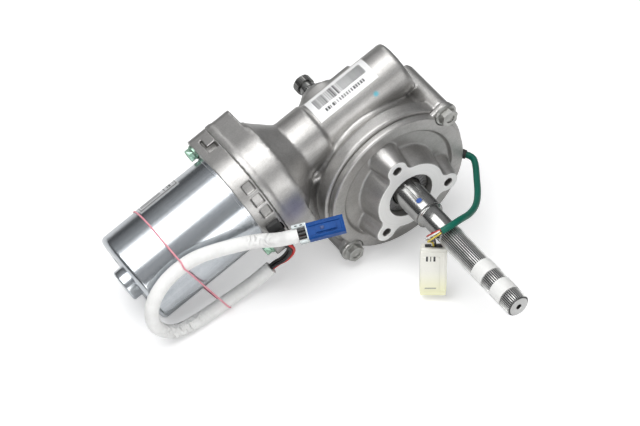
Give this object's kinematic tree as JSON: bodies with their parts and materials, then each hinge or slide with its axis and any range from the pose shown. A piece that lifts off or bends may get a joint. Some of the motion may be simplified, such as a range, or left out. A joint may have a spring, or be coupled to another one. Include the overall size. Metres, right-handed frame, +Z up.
{
  "type": "steering gearbox",
  "caption": "Power steering gearbox for a steering column: an electric motor turns a worm, and the worm turns a wheel on the steering shaft.",
  "frame": {"origin": "centre of the column flange's face, on the steering axis", "axes": "+X along the steering axis towards the splined input shaft, +Z up as it lies on a bench, with the worm tube above the steering axis and the motor on the -Y side"},
  "size_m": [0.276, 0.2831, 0.1448],
  "materials": {
    "cast_housing": "sand-blasted as cast",
    "machined_cover": "as cast with turned faces",
    "zinc_can": "bright zinc plate",
    "zinc_bolts": "clear zinc plate",
    "green_bolts": "green passivated zinc",
    "polished_steel": "polished and lightly oiled",
    "dark_steel": "ground steel",
    "bearing_steel": "ground steel",
    "spring_steel": "dark spring steel",
    "gear_nylon": "machined nylon",
    "white_resin": "smooth white resin",
    "black_rubber": "matt nitrile rubber",
    "pink_rubber": "elastic band",
    "white_sleeve": "soft white tubing",
    "black_wire": "black wire insulation",
    "green_sheath": "green cable sheath",
    "blue_plastic": "moulded blue plastic",
    "clear_plastic": "milky clear plastic",
    "ivory_plastic": "moulded ivory plastic",
    "black_plastic": "glass-filled moulding",
    "circuit_board": "coated circuit board",
    "copper": "enamelled copper",
    "ferrite": "sintered ferrite",
    "core_steel": "stacked laminations",
    "carbon": "carbon brush",
    "blue_pin": "blued steel pin",
    "label_film": "white film",
    "label_foil": "silver foil"
  },
  "bodies": {
    "gearbox": {"gear_housing": "cast_housing", "sensor_cover": "machined_cover", "cover_bolts": "zinc_bolts", "cover_seal_ring": "black_rubber", "dust_seal": "black_rubber", "input_bearing_outer": "bearing_steel", "input_bearing_circlip": "spring_steel", "bearing_plate": "machined_cover", "bearing_plate_screws": "zinc_bolts", "output_front_bearing_outer": "bearing_steel", "output_rear_bearing_outer": "bearing_steel", "output_seal": "black_rubber", "sensor_carrier": "black_plastic", "sensor_coil": "copper", "sensor_board": "circuit_board", "sensor_grommet": "black_rubber", "worm_bearing_outers": "bearing_steel", "worm_lock_ring": "dark_steel", "motor_bracket": "cast_housing", "motor_bolts": "green_bolts", "motor_can": "zinc_can", "motor_magnets": "ferrite", "brush_holder": "black_plastic", "brushes": "carbon", "brush_springs": "spring_steel", "motor_bearing_outers": "bearing_steel", "lead_grommet": "black_rubber", "rubber_band": "pink_rubber", "motor_lead_sleeve": "white_sleeve", "motor_lead_wires": "black_wire", "motor_plug": "blue_plastic", "plug_retainer": "clear_plastic", "sensor_lead": "green_sheath", "sensor_wires": "black_wire", "sensor_plug": "ivory_plastic", "tube_label": "label_film", "can_label": "label_foil"},
    "output": {"output_shaft": "polished_steel", "worm_wheel_hub": "dark_steel", "worm_wheel_rim": "gear_nylon", "output_front_bearing_inner": "bearing_steel", "output_rear_bearing_inner": "bearing_steel", "output_sensor_ring": "dark_steel", "torsion_bar": "spring_steel", "torsion_bar_pin": "dark_steel"},
    "input": {"input_shaft": "polished_steel", "input_pin": "blue_pin", "spline_rings": "white_resin", "input_sensor_ring": "dark_steel", "input_bearing_inner": "bearing_steel"},
    "rotor": {"worm": "dark_steel", "worm_bearing_inners": "bearing_steel", "coupling_spider": "black_rubber", "motor_shaft": "dark_steel", "armature_core": "core_steel", "armature_windings": "copper", "commutator": "copper", "motor_bearing_inners": "bearing_steel"}
  },
  "joints": [
    {"name": "worm_spin", "type": "hinge", "parent": "gearbox", "child": "rotor", "pos_m": [-0.062, -0.01873, 0.04636], "axis": [0, 0.9272, 0.3746], "continuous": true},
    {"name": "steering_spin", "type": "hinge", "parent": "gearbox", "child": "output", "pos_m": [0, 0, 0], "axis": [1, 0, 0], "continuous": true},
    {"name": "input_twist", "type": "hinge", "parent": "output", "child": "input", "pos_m": [0, 0, 0], "axis": [1, 0, 0], "range_deg": [-4.5, 4.5], "stiffness_Nm_per_rad": 120, "deforming": ["torsion_bar"]}
  ],
  "couplings": [
    {"joint": "steering_spin", "follows": "worm_spin", "ratio": 0.04878}
  ]
}
